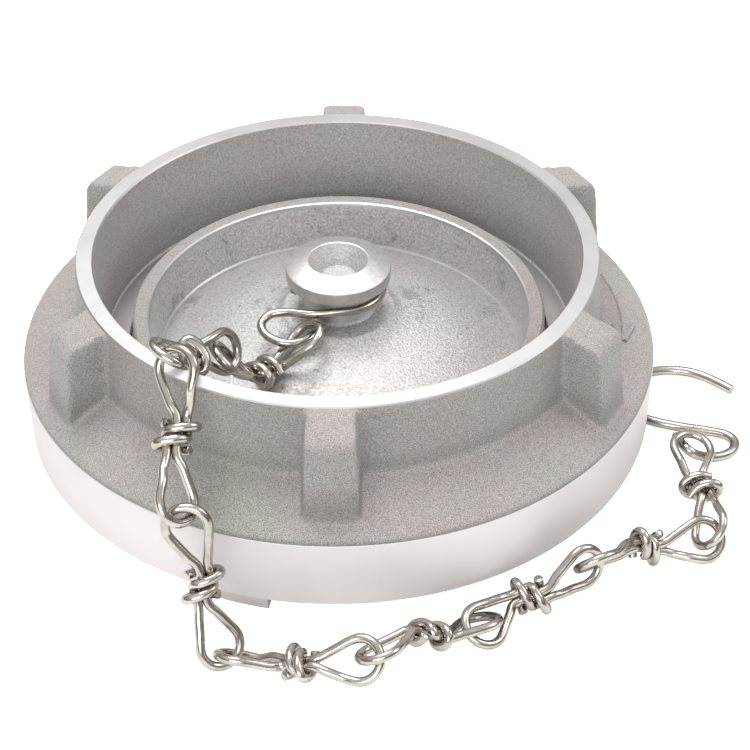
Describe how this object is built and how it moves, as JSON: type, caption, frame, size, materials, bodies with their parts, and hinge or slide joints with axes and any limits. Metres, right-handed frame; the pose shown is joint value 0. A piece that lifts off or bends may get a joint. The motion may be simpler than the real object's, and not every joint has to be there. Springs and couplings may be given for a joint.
{
  "type": "storz blind cap",
  "caption": "Blind cap for a Storz hose coupling: a dished cover in a lugged locking ring with two claws, and a knotted wire chain with a hook.",
  "frame": {"origin": "middle of the round flat on the cover's mating side", "axes": "+Z is the cap's axis and points away from the hose; a spanner lug lies on -Y, and the chain leaves over the collar towards -X -Y"},
  "size_m": [0.2108, 0.2094, 0.0723],
  "materials": {
    "ring_cast": "cast, with machined rim and band",
    "cover_cast": "cast, with a machined hub",
    "seal_rubber": "matte",
    "retainer_steel": "bright wire",
    "chain_steel": "bright wire"
  },
  "bodies": {
    "locking_ring": {"locking_ring": "ring_cast"},
    "cover": {"cover_plate": "cover_cast", "face_seal": "seal_rubber", "retaining_ring": "retainer_steel"},
    "neck_hook": {"neck_hook": "chain_steel"},
    "chain_link_01": {"chain_link_01": "chain_steel"},
    "chain_link_02": {"chain_link_02": "chain_steel"},
    "chain_link_03": {"chain_link_03": "chain_steel"},
    "chain_link_04": {"chain_link_04": "chain_steel"},
    "chain_link_05": {"chain_link_05": "chain_steel"},
    "chain_link_06": {"chain_link_06": "chain_steel"},
    "chain_link_07": {"chain_link_07": "chain_steel"},
    "chain_link_08": {"chain_link_08": "chain_steel"},
    "chain_link_09": {"chain_link_09": "chain_steel"},
    "end_hook": {"end_hook": "chain_steel"}
  },
  "joints": [
    {"name": "cover_turn", "type": "hinge", "parent": "locking_ring", "child": "cover", "pos_m": [0, 0, 0], "axis": [0, 0, 1], "continuous": true},
    {"name": "neck_hook_turn", "type": "hinge", "parent": "locking_ring", "child": "neck_hook", "pos_m": [0, 0, 0.0232], "axis": [0, 0, 1], "range_deg": [-15, 15]},
    {"name": "chain_link_01_swing", "type": "hinge", "parent": "neck_hook", "child": "chain_link_01", "pos_m": [-0.0101, -0.0136, 0.0214], "axis": [-0.1591, -0.041, -0.9864], "range_deg": [0, 30]},
    {"name": "chain_link_02_swing", "type": "hinge", "parent": "chain_link_01", "child": "chain_link_02", "pos_m": [-0.0308, -0.0405, 0.0275], "axis": [0, 0, -1], "range_deg": [0, 8]},
    {"name": "chain_link_03_swing", "type": "hinge", "parent": "chain_link_02", "child": "chain_link_03", "pos_m": [-0.0421, -0.0639, 0.0461], "axis": [-0.865, -0.406, -0.295], "range_deg": [0, 35]},
    {"name": "chain_link_04_swing", "type": "hinge", "parent": "chain_link_03", "child": "chain_link_04", "pos_m": [-0.0339, -0.0895, 0.0193], "axis": [-0.169, -0.6179, -0.7679], "range_deg": [0, 40]},
    {"name": "chain_link_05_swing", "type": "hinge", "parent": "chain_link_04", "child": "chain_link_05", "pos_m": [-0.029, -0.1069, -0.0192], "axis": [-0.6868, -0.6918, -0.2229], "range_deg": [0, 20]},
    {"name": "chain_link_06_swing", "type": "hinge", "parent": "chain_link_05", "child": "chain_link_06", "pos_m": [0.0102, -0.1149, -0.0079], "axis": [0.179, -0.3159, -0.9318], "range_deg": [0, 30]},
    {"name": "chain_link_07_swing", "type": "hinge", "parent": "chain_link_06", "child": "chain_link_07", "pos_m": [0.0439, -0.0934, -0.0187], "axis": [0.5428, 0.117, -0.8317], "range_deg": [0, 24]},
    {"name": "chain_link_08_swing", "type": "hinge", "parent": "chain_link_07", "child": "chain_link_08", "pos_m": [0.0719, -0.0729, -0.0168], "axis": [0.4068, -0.5347, -0.7406], "range_deg": [0, 40]},
    {"name": "chain_link_09_swing", "type": "hinge", "parent": "chain_link_08", "child": "chain_link_09", "pos_m": [0.1043, -0.0599, -0.0134], "axis": [0.3412, 0.3372, -0.8774], "range_deg": [0, 40]},
    {"name": "end_hook_swing", "type": "hinge", "parent": "chain_link_09", "child": "end_hook", "pos_m": [0.0997, -0.0214, -0.0179], "axis": [0, 0, -1], "range_deg": [0, 60]}
  ]
}
